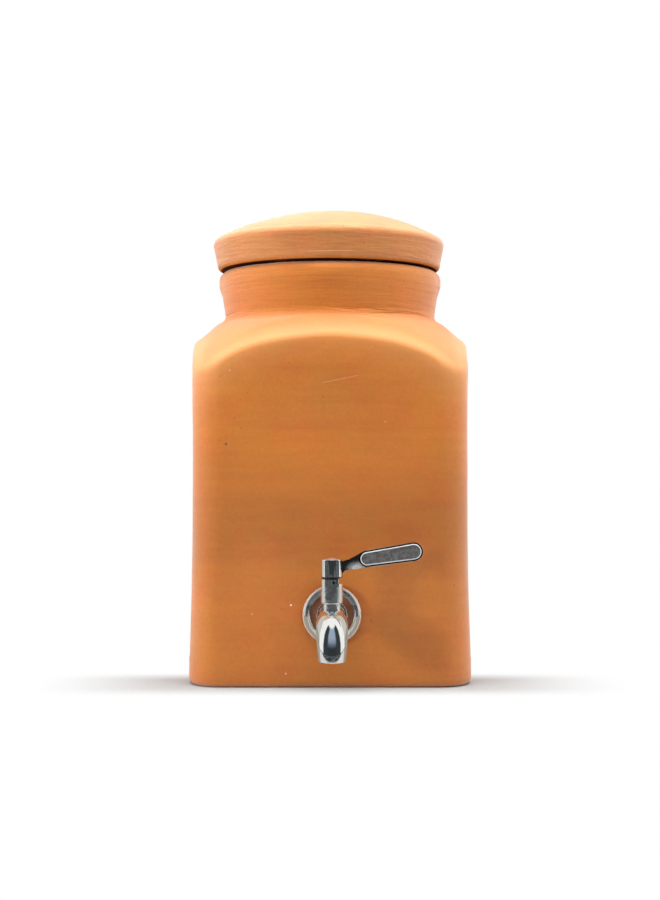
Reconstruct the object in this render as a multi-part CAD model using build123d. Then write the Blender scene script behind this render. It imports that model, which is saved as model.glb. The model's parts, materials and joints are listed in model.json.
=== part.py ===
from build123d import *
import os
from math import acos, asin, cos, degrees, radians, sin, sqrt

# A terracotta water jar with a loose lid and a steel lever tap, in millimetres.
# The origin is the centre of the foot on the floor, +Z is up and the tap points to -Y.

# Clay body: a rounded square that is widest at the foot
foot_width = 200.0
waist_share = 0.972
waist_height = 140.0
corner_radius = 23.0
foot_rounding = 9.0
clay_wall = 10.0
clay_floor = 12.0

# Shoulder: a domed cap that cuts an arch into each of the four faces
shoulder_height = 269.6
shoulder_crown_share = 0.1785
shoulder_sweep_share = 0.551
arch_rounding = 12.5

# Neck and mouth: radii as shares of the foot's width, heights as rises one above the other
neck_share = 0.3875
neck_flare = 5.0
neck_below_share = 0.068
neck_rise = 31.0
lip_rise = 11.0
mouth_in_neck = 7.5

# Lid
lid_foot_overhang = 1.1
lid_flare = 4.2
lid_band_rise = 22.4
lid_crown_rise = 23.6
lid_wall = 9.0
lid_ring_play = 1.5
lid_ring_wall = 8.5
lid_ring_depth = 12.0
lid_seat_gap = 0.2

# Tap: where it stands on the front face, a little right of the middle as the hand-cut hole does,
# and how far its barrel and outlet reach out
tap_height = 50.5
tap_offset = 1.3
barrel_reach = 26.0
outlet_reach = 42.5
outlet_drop = 26.3
valve_drop = 2.5

# Tap: tail, dress ring, washers and nut
tail_radius = 8.0
tail_bore_radius = 4.5
tap_hole_play = 0.5
spot_face_depth = 0.6
ring_radius = 20.6
ring_opening_radius = 15.15
ring_height = 3.8
bush_height = 1.2
outer_washer_radius = 17.5
outer_washer_thickness = 2.0
inner_washer_radius = 15.0
inner_washer_thickness = 2.5
plain_washer_radius = 14.0
plain_washer_thickness = 1.5
nut_across_flats = 24.0
nut_thickness = 8.0
tail_past_nut = 4.0

# Tap: barrel and valve
barrel_radius = 7.3
barrel_foot_rise = 10.4
barrel_height = 17.2
waist_join_radius = 5.9
valve_bore_radius = 4.4
valve_floor_drop = 7.0
seat_wall = 0.8
seat_rise = 8.0
water_way_radius = 2.3
collar_drop = 7.7
stem_radius = 3.0
retaining_ring_height = 6.0
thrust_washer_height = 0.8

# Lever
hub_radius = 7.15
hub_height = 12.6
lever_length = 61.3
lever_rise = 8.6
paddle_start = 23.6
paddle_start_height = 12.9
paddle_near_radius = 5.8
paddle_far_radius = 6.4
paddle_thickness = 5.0
arm_thickness = 4.6
open_turn = 90.0

# Clearances: a press fit, a running fit, and the gap that keeps separate bodies apart
fit_gap = 0.02
running_gap = 0.06
free_gap = 0.3
overrun = 5.0


def disc(radius, low, high):
    """An upright cylinder between two heights."""
    return Pos(0, 0, low) * Cylinder(
        radius, high - low, align=(Align.CENTER, Align.CENTER, Align.MIN)
    )


def turned(points):
    """A solid turned about Z from an outline of (radius, height) points."""
    face = make_face(Polyline(*points, close=True).edges())
    return revolve(Plane.XZ * face, Axis.Z)


def along_tap(solid):
    """Lay a piece that was turned about Z along the tap's axis, its top towards -Y."""
    return Pos(tap_offset, 0, tap_height) * Rot(90, 0, 0) * solid


# Widths and heights of the clay that follow from the foot's width and the shoulder's height
waist_width = foot_width * waist_share
shoulder_crown = foot_width * shoulder_crown_share
shoulder_sweep = foot_width * shoulder_sweep_share
neck_radius = foot_width * neck_share
lip_radius = neck_radius + neck_flare
mouth_radius = neck_radius - mouth_in_neck
crease_height = shoulder_height - foot_width * neck_below_share
lip_height = crease_height + neck_rise
rim_height = lip_height + lip_rise
lid_foot = rim_height + lid_seat_gap
lid_foot_radius = lip_radius + lid_foot_overhang
lid_edge_radius = lid_foot_radius + lid_flare
lid_edge_height = lid_foot + lid_band_rise
lid_crown_height = lid_edge_height + lid_crown_rise


def side_half_width(height):
    """Half of the clay body's width across the flats at a height."""
    spread = (foot_width - waist_width) / 2
    sweep_radius = (waist_height**2 + spread**2) / (2 * spread)
    drop = max(0, waist_height - height)
    return waist_width / 2 + sweep_radius - sqrt(sweep_radius**2 - drop**2)


# Places along the tap, measured from the middle of the jar towards the front
front_face = side_half_width(tap_height)
clay_seat = front_face - spot_face_depth
ring_back = clay_seat + outer_washer_thickness
bush_front = ring_back + bush_height
inner_seat = clay_seat - clay_wall + spot_face_depth
inner_washer_back = inner_seat - inner_washer_thickness
plain_washer_back = inner_washer_back - plain_washer_thickness
nut_back = plain_washer_back - nut_thickness
tail_end = nut_back - tail_past_nut
barrel_axis = front_face + barrel_reach
outlet_axis = front_face + outlet_reach

# Heights of the spout and up the valve, all from the tap's own height
outlet_height = tap_height - outlet_drop
valve_height = tap_height - valve_drop
valve_floor_height = valve_height - valve_floor_drop
seat_top_height = valve_height + seat_rise
barrel_foot_height = tap_height + barrel_foot_rise
barrel_top = barrel_foot_height + barrel_height
collar_top_height = barrel_top - collar_drop
hub_foot = barrel_top + free_gap
hub_top = hub_foot + hub_height


# Clay body

dome_clearance = 1.0
inner_foot_rounding = 4.0
crease_rounding = 5.0
rim_outer_rounding = 5.0
rim_inner_rounding = 2.5
lip_rounding = 12.0


def side_slab(inset, base):
    """One side outline of the body, drawn through the whole width of the jar."""
    waist = waist_width / 2 - inset
    foot = side_half_width(base) - inset
    top = shoulder_height + overrun
    right = TangentArc((waist, waist_height), (foot, base), tangent=(0, -1))
    left = TangentArc((-waist, waist_height), (-foot, base), tangent=(0, -1))
    outline = [
        right,
        Line((foot, base), (-foot, base)),
        left,
        Line((-waist, waist_height), (-waist, top)),
        Line((-waist, top), (waist, top)),
        Line((waist, top), (waist, waist_height)),
    ]
    return extrude(Plane.XZ * make_face(outline), foot_width, both=True)


def shoulder_dome(inset):
    """The turned cap that trims the four sides into arches."""
    sweep = shoulder_sweep - inset
    spring = shoulder_height - shoulder_sweep
    reach = (foot_width / 2 - corner_radius) * sqrt(2) + corner_radius + dome_clearance
    edge = degrees(acos((reach - shoulder_crown) / sweep))
    arc = CenterArc((shoulder_crown, spring), sweep, edge, 90 - edge)
    outline = [
        Line((0, 0), (reach, 0)),
        Line((reach, 0), arc @ 0),
        arc,
        Line(arc @ 1, (0, spring + sweep)),
        Line((0, spring + sweep), (0, 0)),
    ]
    return revolve(Plane.XZ * make_face(outline), Axis.Z)


def clay_form(inset, base, foot_round):
    """The body's closed form, drawn in from the outside by an even wall."""
    slab = side_slab(inset, base)
    prism = slab & Rot(0, 0, 90) * slab
    reach = waist_width / 2 - inset
    corners = [
        e
        for e in prism.edges()
        if min(abs(e.center().X), abs(e.center().Y)) > reach - corner_radius / 2
        and e.bounding_box().size.Z > foot_rounding
    ]
    prism = fillet(corners, corner_radius - inset)
    form = prism & shoulder_dome(inset)
    arch = [
        e
        for e in form.edges()
        if e.center().Z > waist_height
        and e.bounding_box().min.Z > waist_height
        and e.bounding_box().size.Z > fit_gap
        and max(e.bounding_box().size.X, e.bounding_box().size.Y) > fit_gap
    ]
    form = fillet(arch, arch_rounding - inset)
    return fillet(form.faces().sort_by(Axis.Z)[0].edges(), foot_round)


def neck_solid():
    """The neck leans out from the crease at the shoulder to an upright lip."""
    points = [
        (0, waist_height),
        (neck_radius, waist_height),
        (neck_radius, crease_height),
        (lip_radius, lip_height),
        (lip_radius, rim_height),
        (0, rim_height),
    ]
    neck = turned(points)
    lip_edge = [e for e in neck.edges() if abs(e.center().Z - lip_height) < fit_gap]
    neck = fillet(lip_edge, lip_rounding)
    return fillet(neck.edges().sort_by(Axis.Z)[-1], rim_outer_rounding)


def jar_body():
    """The clay vessel, open at the mouth, with the tap's hole near its foot."""
    outside = clay_form(0, 0, foot_rounding) + neck_solid()
    crease = [
        e
        for e in outside.edges()
        if e.bounding_box().size.Z < fit_gap
        and 2 * neck_radius <= e.bounding_box().size.X < 2 * lip_radius
        and e.center().Z < lip_height
    ]
    outside = fillet(ShapeList(crease).sort_by(Axis.Z)[0], crease_rounding)
    hollow = clay_form(clay_wall, clay_floor, inner_foot_rounding)
    vessel = outside - hollow - disc(mouth_radius, waist_height, rim_height + overrun)
    mouth = [
        e
        for e in vessel.edges()
        if e.geom_type == GeomType.CIRCLE
        and abs(e.radius - mouth_radius) < fit_gap
        and e.center().Z > rim_height - fit_gap
    ]
    vessel = fillet(mouth, rim_inner_rounding)
    hole = along_tap(disc(tail_radius + tap_hole_play, 0, foot_width))
    outer_spot = along_tap(disc(outer_washer_radius + free_gap, clay_seat, foot_width))
    inner_spot = along_tap(disc(inner_washer_radius + free_gap, 0, inner_seat))
    return vessel - hole - outer_spot - inner_spot


# Lid

lid_foot_rounding = 3.0
lid_edge_rounding = 5.0
lid_ring_rounding = 2.0
lid_hollow_rounding = 4.0
lid_seat_width = 5.0
lid_undercut = 1.4


def rings_of(solid, radius, height):
    """The round edges of a turned solid at one radius and height."""
    return [
        e
        for e in solid.edges().filter_by(GeomType.CIRCLE)
        if abs(e.radius - radius) < fit_gap and abs(e.center().Z - height) < fit_gap
    ]


def lid():
    """A domed lid: a flared band, a shallow crown, and a ring that drops into the mouth."""
    crown_radius = (lid_edge_radius**2 + lid_crown_rise**2) / (2 * lid_crown_rise)
    crown_centre = lid_crown_height - crown_radius
    foot_low = lid_foot - lid_ring_depth
    band_low = lid_foot + lid_undercut
    seat_radius = mouth_radius + lid_seat_width
    ring_outer = mouth_radius - lid_ring_play
    ring_inner = ring_outer - lid_ring_wall
    hollow_radius = crown_radius - lid_wall
    hollow_edge = crown_centre + sqrt(hollow_radius**2 - ring_inner**2)
    crown = CenterArc(
        (0, crown_centre),
        crown_radius,
        degrees(asin((lid_edge_height - crown_centre) / crown_radius)),
        90 - degrees(asin((lid_edge_height - crown_centre) / crown_radius)),
    )
    under = CenterArc(
        (0, crown_centre),
        hollow_radius,
        degrees(asin((hollow_edge - crown_centre) / hollow_radius)),
        90 - degrees(asin((hollow_edge - crown_centre) / hollow_radius)),
    )
    outline = [
        Line((lid_foot_radius, band_low), (lid_edge_radius, lid_edge_height)),
        crown,
        Line((0, lid_crown_height), (0, crown_centre + hollow_radius)),
        under,
        Line((ring_inner, hollow_edge), (ring_inner, foot_low)),
        Line((ring_inner, foot_low), (ring_outer, foot_low)),
        Line((ring_outer, foot_low), (ring_outer, lid_foot)),
        Line((ring_outer, lid_foot), (seat_radius, lid_foot)),
        Line((seat_radius, lid_foot), (lid_foot_radius, band_low)),
    ]
    solid = revolve(Plane.XZ * make_face(outline), Axis.Z)
    solid = fillet(rings_of(solid, lid_edge_radius, lid_edge_height), lid_edge_rounding)
    solid = fillet(rings_of(solid, lid_foot_radius, band_low), lid_foot_rounding)
    lower = rings_of(solid, ring_outer, foot_low) + rings_of(solid, ring_inner, foot_low)
    solid = fillet(lower, lid_ring_rounding)
    return fillet(rings_of(solid, ring_inner, hollow_edge), lid_hollow_rounding)


# Tap body: trumpet shank, horn spout and valve barrel cast in one piece

trumpet_radius = 10.8
shank_radius = 8.2
shank_reach = 8.5
horn_bend_radius = 10.5
outlet_radius = 8.8
horn_swell_shares = ((0.0, 0.0), (0.34, 1.0), (0.66, 0.95), (1.0, 0.0))
spout_wall = 2.2
spout_bore_start_share = 0.47
barrel_foot_rounding = 1.2
barrel_top_rounding = 0.4
outlet_rounding = 0.8
tail_chamfer = 1.0
lock_screw_radius = 0.9
lock_screw_drop = 2.6
lock_screw_turn = 9.0
stop_pin_radius = 0.7
stop_pin_circle = 5.95
stop_notch_depth = 3.6
stop_turn = 44.0
stop_pin_grip = 3.0


def horn_line():
    """The spout's centre line, a quarter oval from the shank down to the outlet."""
    start = bush_front + shank_reach
    return Plane.YZ.offset(tap_offset) * EllipticalCenterArc(
        (-start, outlet_height),
        outlet_axis - start,
        tap_height - outlet_height,
        90,
        arc_size=90,
    )


def horn(shares_and_radii):
    """A loft through circles that stand square to the spout's centre line."""
    line = horn_line()
    rings = [
        Plane(line @ share, x_dir=(1, 0, 0), z_dir=line % share) * Circle(radius)
        for share, radius in shares_and_radii
    ]
    return loft(rings)


def spout_outside():
    """The horn swells at its bend and draws in to the outlet."""
    ends = (shank_radius, outlet_radius)
    stations = []
    for share, swell in horn_swell_shares:
        plain = ends[0] + (ends[1] - ends[0]) * share
        stations.append((share, plain + (horn_bend_radius - plain) * swell))
    return horn(stations)


def trumpet():
    """The turned shank, flared like a trumpet where it bears on the washer's bush."""
    neck = bush_front + shank_reach
    curve = EllipticalCenterArc(
        (trumpet_radius, neck), trumpet_radius - shank_radius, shank_reach, 180, arc_size=90
    )
    outline = [
        Line((0, bush_front), (trumpet_radius, bush_front)),
        curve,
        Line((shank_radius, neck), (0, neck)),
        Line((0, neck), (0, bush_front)),
    ]
    return along_tap(revolve(Plane.XZ * make_face(outline), Axis.Z))


def barrel_place():
    """Where the barrel's axis meets the floor."""
    return Pos(tap_offset, -barrel_axis, 0)


def stop_notch():
    """The quarter-turn notch in the barrel's rim that the stop pin runs in."""
    slack = degrees(asin((stop_pin_radius + free_gap) / stop_pin_circle))
    low = barrel_top - stop_notch_depth
    inner = stop_pin_circle - stop_pin_radius - free_gap / 2
    sweep_face = Plane.XZ * make_face(
        Polyline(
            (inner, low),
            (barrel_radius + overrun, low),
            (barrel_radius + overrun, barrel_top + overrun),
            (inner, barrel_top + overrun),
            close=True,
        ).edges()
    )
    sweep = revolve(sweep_face, Axis.Z, open_turn + 2 * slack)
    return Rot(0, 0, -slack - stop_turn) * sweep


def valve_bores():
    """The bore down the barrel, the water way across it and the lock screw's hole."""
    bore = disc(valve_bore_radius, valve_floor_height, barrel_top + overrun)
    screw_hole = Pos(0, 0, barrel_top - lock_screw_drop) * Rot(0, 0, lock_screw_turn) * Rot(90, 0, 0)
    screw_hole = screw_hole * disc(lock_screw_radius + fit_gap, 0, barrel_radius + overrun)
    return barrel_place() * (bore + screw_hole + stop_notch())


def water_way():
    """The way in through the shank, past the plug and out through the horn."""
    shank_bore = along_tap(disc(tail_bore_radius, 0, barrel_axis - barrel_radius))
    across = Rot(90, 0, 0) * disc(water_way_radius, shank_reach, barrel_axis + barrel_radius)
    narrow = water_way_radius + seat_wall
    full = horn_bend_radius - spout_wall
    mouth = outlet_radius - spout_wall
    middle_share = (spout_bore_start_share + 1) / 2
    cavity = horn(
        [(spout_bore_start_share, narrow), (middle_share, full), (1.0, mouth)]
    )
    drop = Pos(tap_offset, -outlet_axis, 0) * disc(mouth, 0, outlet_height)
    return shank_bore + Pos(tap_offset, 0, valve_height) * across + cavity + drop


def tap_body():
    """The cast body, bored for the water way and the valve."""
    barrel = disc(barrel_radius, barrel_foot_height, barrel_top)
    foot_edge = barrel.edges().filter_by(GeomType.CIRCLE).sort_by(Axis.Z)[0]
    barrel = fillet(foot_edge, barrel_foot_rounding)
    top_edge = barrel.edges().filter_by(GeomType.CIRCLE).sort_by(Axis.Z)[-1]
    barrel = fillet(top_edge, barrel_top_rounding)
    barrel = barrel + disc(waist_join_radius, tap_height, barrel_foot_height)
    tail = disc(tail_radius, tail_end, bush_front)
    tail = chamfer(tail.edges().filter_by(GeomType.CIRCLE).sort_by(Axis.Z)[0], tail_chamfer)
    outside = spout_outside()
    outside = fillet(outside.faces().sort_by(Axis.Z)[0].edges(), outlet_rounding)
    outside = outside + trumpet() + along_tap(tail) + barrel_place() * barrel
    return outside - valve_bores() - water_way()


# Ring, washers and nut on the tap's tail

ring_crown_share = 0.45
ring_step = 0.9
ring_step_drop = 0.8
ring_edge = 1.4
nut_chamfer = 1.2


def dress_ring():
    """A polished ring with a domed rim and a fine inner step, pushed over the washer's bush."""
    back = ring_back
    crown = ring_opening_radius + (ring_radius - ring_opening_radius) * ring_crown_share
    step = ring_opening_radius + ring_step
    inner_top = back + ring_height - ring_step_drop
    crown_point = (crown, back + ring_height)
    outline = [
        Line((ring_opening_radius, back), (ring_radius, back)),
        Line((ring_radius, back), (ring_radius, back + ring_edge)),
        TangentArc(crown_point, (ring_radius, back + ring_edge), tangent=(1, 0)),
        TangentArc(crown_point, (step, inner_top + ring_step_drop / 2), tangent=(-1, 0)),
        Line((step, inner_top + ring_step_drop / 2), (step, inner_top - ring_step_drop / 2)),
        Line((step, inner_top - ring_step_drop / 2), (ring_opening_radius, inner_top - ring_step_drop)),
        Line((ring_opening_radius, inner_top - ring_step_drop), (ring_opening_radius, back)),
    ]
    return along_tap(revolve(Plane.XZ * make_face(outline), Axis.Z))


def washer(radius, low, high):
    """A flat washer on the tap's tail between two places along it."""
    return along_tap(disc(radius, low, high) - disc(tail_radius + free_gap, low, high))


def outer_washer():
    """The rubber seal: a flat flange on the clay and a bush inside the dress ring."""
    flange = washer(outer_washer_radius, clay_seat, ring_back)
    bush = washer(ring_opening_radius - fit_gap, clay_seat, bush_front)
    return flange + bush


def lock_nut():
    """The hexagon nut that draws the tap tight against the clay."""
    hexagon = RegularPolygon(nut_across_flats / 2, 6, major_radius=False)
    nut = Pos(0, 0, nut_back) * extrude(hexagon, nut_thickness)
    half_height = nut_thickness / 2
    corner = nut_across_flats / 2 / cos(radians(30))
    middle = nut_back + half_height
    trim = turned(
        [
            (0, nut_back),
            (corner - nut_chamfer, nut_back),
            (corner, nut_back + nut_chamfer / 2),
            (corner, middle),
            (corner, plain_washer_back - nut_chamfer / 2),
            (corner - nut_chamfer, plain_washer_back),
            (0, plain_washer_back),
        ]
    )
    bore = disc(tail_radius + running_gap, nut_back - overrun, plain_washer_back + overrun)
    return along_tap((nut & trim) - bore)


# Valve

plug_gap = 0.3
groove_width = 1.6
groove_depth = 1.15
ring_places_share = (0.26, 0.68)
drive_across = 4.2
drive_height = 7.6
thread_hole_radius = 1.5
thread_hole_depth = 9.0
slot_width = 1.4
slot_depth = 1.2


def seat_inner_radius():
    return valve_bore_radius - fit_gap - seat_wall


def valve_seat():
    """The low-friction sleeve that the plug turns in, with a port each way."""
    outer = disc(valve_bore_radius - fit_gap, valve_floor_height, seat_top_height)
    sleeve = outer - disc(seat_inner_radius(), valve_floor_height, seat_top_height)
    ports = Pos(0, valve_bore_radius * 2, valve_height) * Rot(90, 0, 0)
    ports = ports * disc(water_way_radius, 0, valve_bore_radius * 4)
    return barrel_place() * (sleeve - ports)


def collar_radius():
    return valve_bore_radius - running_gap


def ring_heights():
    """The heights of the two sealing rings on the collar."""
    low = seat_top_height + plug_gap
    return [low + (collar_top_height - low) * share for share in ring_places_share]


def valve_plug():
    """The turned plug: cross-drilled below, sealed at its collar, squared for the lever."""
    lower = disc(seat_inner_radius() - running_gap, valve_floor_height + plug_gap, collar_top_height)
    collar = disc(collar_radius(), seat_top_height + plug_gap, collar_top_height)
    for height in ring_heights():
        groove = disc(collar_radius() + overrun, height - groove_width / 2, height + groove_width / 2)
        floor = disc(collar_radius() - groove_depth, height - groove_width, height + groove_width)
        collar = collar - (groove - floor)
    stem = disc(stem_radius, collar_top_height, hub_foot)
    drive = Pos(0, 0, hub_foot) * Box(
        drive_across,
        drive_across,
        drive_height,
        align=(Align.CENTER, Align.CENTER, Align.MIN),
    )
    drive = drive & disc(stem_radius, hub_foot, hub_foot + drive_height)
    cross = Pos(-barrel_radius, 0, valve_height) * Rot(0, 90, 0)
    cross = cross * disc(water_way_radius, 0, barrel_radius * 2)
    drive_top = hub_foot + drive_height
    thread = disc(thread_hole_radius, drive_top - thread_hole_depth, drive_top + overrun)
    groove_cut = collar - disc(collar_radius() - groove_depth, 0, collar_top_height)
    core = disc(collar_radius() - groove_depth, seat_top_height, collar_top_height)
    lower = lower & disc(barrel_radius, 0, seat_top_height + plug_gap)
    return barrel_place() * (lower + core + groove_cut + stem + drive - cross - thread)


def plug_o_rings():
    """Two rubber rings in the collar's grooves."""
    floor = collar_radius() - groove_depth
    section = (valve_bore_radius - running_gap / 2 - floor - fit_gap) / 2
    circle = floor + fit_gap + section
    rings = [barrel_place() * Pos(0, 0, height) * Torus(circle, section) for height in ring_heights()]
    return Compound(children=rings)


def thrust_low():
    return collar_top_height + running_gap


def thrust_washer():
    """The slippery washer between the turning collar and the ring that holds it down."""
    ring = disc(valve_bore_radius - fit_gap, thrust_low(), thrust_low() + thrust_washer_height)
    return barrel_place() * (ring - disc(stem_radius + running_gap, 0, hub_foot))


def retaining_ring():
    """The threaded ring that keeps the plug in the barrel, slotted for a key."""
    low = thrust_low() + thrust_washer_height
    ring = disc(valve_bore_radius - fit_gap, low, low + retaining_ring_height)
    top = low + retaining_ring_height
    slot = Pos(0, 0, top - slot_depth) * Box(
        valve_bore_radius * 4,
        slot_width,
        slot_depth * 2,
        align=(Align.CENTER, Align.CENTER, Align.MIN),
    )
    return barrel_place() * (ring - disc(stem_radius + running_gap, 0, hub_foot) - slot)


def lock_screw():
    """The small set screw that keeps the retaining ring from turning."""
    socket_radius = lock_screw_radius / 2
    length = barrel_radius - valve_bore_radius - free_gap
    tip = valve_bore_radius
    screw = disc(lock_screw_radius, tip, tip + length)
    socket = Pos(0, 0, tip + length / 2) * extrude(RegularPolygon(socket_radius, 6), length)
    place = Pos(0, 0, barrel_top - lock_screw_drop) * Rot(0, 0, lock_screw_turn) * Rot(90, 0, 0)
    return barrel_place() * place * (screw - socket)


# Lever

hub_rounding = 0.7
arm_low_height = 4.7
arm_high_height = 11.2
arm_knee_reach = 11.8
arm_knee_height = 12.6
arm_foot_fillet = 3.6
arm_foot_height = 0.9
paddle_rounding = 0.7
bead_rounding = 0.3
panel_border_near = 1.4
panel_border_far = 1.2
panel_depth = 0.8
bead_width = 0.65
bead_height = 0.35
panel_thickness = 0.7
cap_radius = 6.1
cap_seat_depth = 1.4
cap_dome = 1.9
screw_head_radius = 2.7
screw_head_height = 1.5
screw_shank_radius = 1.48
screw_socket_radius = 1.3


def paddle_ends():
    """The centres of the paddle's two round ends, from the hub's foot on its axis."""
    far_reach = lever_length - paddle_far_radius
    rise = (far_reach - paddle_start) * sin(radians(lever_rise)) / cos(radians(lever_rise))
    return (paddle_start, paddle_start_height), (far_reach, paddle_start_height + rise)


def tapered_slot(near_radius, far_radius):
    """A long round-ended outline from the paddle's near end to its far end."""
    near, far = paddle_ends()
    circles = Pos(*near) * Circle(near_radius) + Pos(*far) * Circle(far_radius)
    return make_hull(circles.edges())


def upright(face, thickness):
    """Extrude a side view of the lever evenly both ways from its middle plane."""
    return extrude(Plane.XZ * face, thickness / 2, both=True)


def lever_blank():
    """The arm sweeping up from the hub into the flat paddle."""
    near, far = paddle_ends()
    slope = (far[1] - near[1]) / (far[0] - near[0])
    under = near[1] - paddle_near_radius
    inner = hub_radius - free_gap
    corner = (inner, arm_low_height)
    arm = make_face(
        Polyline(
            (0, arm_foot_height),
            (inner, arm_foot_height),
            corner,
            (near[0], under),
            (near[0] + paddle_near_radius, under + paddle_near_radius * slope),
            (near[0], near[1] + paddle_near_radius),
            (near[0] - paddle_near_radius * slope, near[1] + paddle_near_radius),
            (arm_knee_reach, arm_knee_height),
            (inner, arm_high_height),
            (0, arm_high_height),
            close=True,
        ).edges()
    )
    arm = fillet(arm.vertices().sort_by_distance((*corner, 0))[0], arm_foot_fillet)
    paddle = upright(tapered_slot(paddle_near_radius, paddle_far_radius), paddle_thickness)
    return upright(arm, arm_thickness), paddle


def panel_faces():
    """The outlines of the recess and of the bead that stands round it."""
    near = paddle_near_radius - panel_border_near
    far = paddle_far_radius - panel_border_far
    return tapered_slot(near - bead_width, far - bead_width), tapered_slot(near, far)


def lever():
    """Hub, arm and paddle in one polished piece, recessed on both broad faces."""
    arm, paddle = lever_blank()
    rim = [e for e in paddle.edges() if e.bounding_box().size.Y < fit_gap]
    paddle = fillet(rim, paddle_rounding)
    recess, bead = panel_faces()
    beads = upright(bead, paddle_thickness + 2 * bead_height)
    crest = [e for e in beads.edges() if e.bounding_box().size.Y < fit_gap]
    beads = fillet(crest, bead_rounding)
    cut = upright(recess, paddle_thickness + 2 * overrun) - upright(
        recess, paddle_thickness - 2 * panel_depth
    )
    hub = disc(hub_radius, 0, hub_height)
    hub = fillet(hub.edges().filter_by(GeomType.CIRCLE), hub_rounding)
    blank = hub + arm + paddle + beads
    solid = Pos(0, 0, hub_foot) * (blank - cut)
    drive = Pos(0, 0, hub_foot) * Box(
        drive_across + 2 * running_gap,
        drive_across + 2 * running_gap,
        drive_height + free_gap,
        align=(Align.CENTER, Align.CENTER, Align.MIN),
    )
    screw_way = disc(screw_shank_radius + running_gap, hub_foot, hub_top)
    head_way = disc(screw_head_radius + running_gap, screw_seat_height(), hub_top + overrun)
    cap_way = disc(cap_radius + fit_gap, hub_top - cap_seat_depth, hub_top + overrun)
    pin_way = pin_place() * disc(stop_pin_radius + fit_gap, hub_foot - overrun, hub_foot + stop_pin_grip)
    return barrel_place() * (solid - drive - screw_way - head_way - cap_way - pin_way)


def screw_seat_height():
    """Where the lever screw's head bears inside the hub."""
    return hub_top - cap_seat_depth - screw_head_height - running_gap


def pin_place():
    """The stop pin stands behind the stem when the tap is shut."""
    return Rot(0, 0, -stop_turn) * Pos(0, stop_pin_circle, 0)


def inlay(side):
    """The grey grip panel in one of the paddle's recesses."""
    recess = panel_faces()[0]
    floor = paddle_thickness / 2 - panel_depth
    panel = extrude(Plane.XZ * recess, panel_thickness)
    shift = floor if side < 0 else -floor
    panel = panel if side < 0 else mirror(panel, Plane.XZ)
    return barrel_place() * Pos(0, -shift, hub_foot) * panel


def hub_cap():
    """The domed cap that hides the lever's screw."""
    low = hub_top - cap_seat_depth + fit_gap
    dome_radius = (cap_radius**2 + cap_dome**2) / (2 * cap_dome)
    dome = Pos(0, 0, hub_top + cap_dome - dome_radius) * Sphere(dome_radius)
    blank = disc(cap_radius, low, hub_top + cap_dome)
    return barrel_place() * (blank & (dome + disc(cap_radius, low, hub_top)))


def lever_screw():
    """The screw that pulls the lever down onto the plug's square."""
    seat = screw_seat_height() + fit_gap
    head = disc(screw_head_radius, seat, seat + screw_head_height)
    low = hub_foot + drive_height - thread_hole_depth + free_gap
    shank = disc(screw_shank_radius, low, seat)
    socket = Pos(0, 0, seat + screw_head_height / 2) * extrude(
        RegularPolygon(screw_socket_radius, 6), screw_head_height
    )
    return barrel_place() * (head + shank - socket)


def stop_pin():
    """The pin under the hub that meets the ends of the barrel's notch."""
    low = barrel_top - stop_notch_depth + free_gap
    return barrel_place() * pin_place() * disc(stop_pin_radius, low, hub_foot + stop_pin_grip)


pieces = {
    "jar_body": jar_body,
    "lid": lid,
    "tap_body": tap_body,
    "dress_ring": dress_ring,
    "outer_washer": outer_washer,
    "inner_washer": lambda: washer(inner_washer_radius, inner_washer_back, inner_seat),
    "plain_washer": lambda: washer(plain_washer_radius, plain_washer_back, inner_washer_back),
    "lock_nut": lock_nut,
    "valve_seat": valve_seat,
    "valve_plug": valve_plug,
    "plug_o_rings": plug_o_rings,
    "thrust_washer": thrust_washer,
    "retaining_ring": retaining_ring,
    "lock_screw": lock_screw,
    "lever": lever,
    "inlay_front": lambda: inlay(-1),
    "inlay_back": lambda: inlay(1),
    "hub_cap": hub_cap,
    "lever_screw": lever_screw,
    "stop_pin": stop_pin,
}

os.makedirs("parts", exist_ok=True)
for name, make in pieces.items():
    export_step(make(), f"parts/{name}.step")
    print(name)
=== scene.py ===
import json
import math

import bpy
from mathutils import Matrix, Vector

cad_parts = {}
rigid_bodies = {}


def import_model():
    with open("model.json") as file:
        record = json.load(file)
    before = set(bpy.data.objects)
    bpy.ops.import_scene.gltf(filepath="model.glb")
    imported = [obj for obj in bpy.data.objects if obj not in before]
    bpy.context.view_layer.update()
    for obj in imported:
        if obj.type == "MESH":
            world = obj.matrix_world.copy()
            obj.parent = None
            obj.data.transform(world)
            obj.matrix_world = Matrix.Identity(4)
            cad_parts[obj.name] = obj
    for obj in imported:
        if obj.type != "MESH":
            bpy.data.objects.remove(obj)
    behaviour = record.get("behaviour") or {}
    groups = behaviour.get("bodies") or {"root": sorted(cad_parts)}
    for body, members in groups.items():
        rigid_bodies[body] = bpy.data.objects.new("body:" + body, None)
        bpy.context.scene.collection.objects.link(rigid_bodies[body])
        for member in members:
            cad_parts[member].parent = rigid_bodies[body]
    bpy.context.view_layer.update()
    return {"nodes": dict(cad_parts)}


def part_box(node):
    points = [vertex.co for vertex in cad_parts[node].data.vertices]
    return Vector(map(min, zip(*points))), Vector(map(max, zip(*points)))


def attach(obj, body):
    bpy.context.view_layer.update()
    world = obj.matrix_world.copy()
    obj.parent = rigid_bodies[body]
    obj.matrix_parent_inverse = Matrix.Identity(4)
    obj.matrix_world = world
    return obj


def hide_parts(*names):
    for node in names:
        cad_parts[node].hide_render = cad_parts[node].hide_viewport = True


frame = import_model()
nodes = frame["nodes"]


# The clay body
# A rounded square of terracotta, pressed and then wiped smooth with a wet hand. It is fired
# unglazed, so the clay stays matt, and every wall is a little uneven.

MM = 0.001
MERGE_WITHIN = 0.002 * MM


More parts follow.
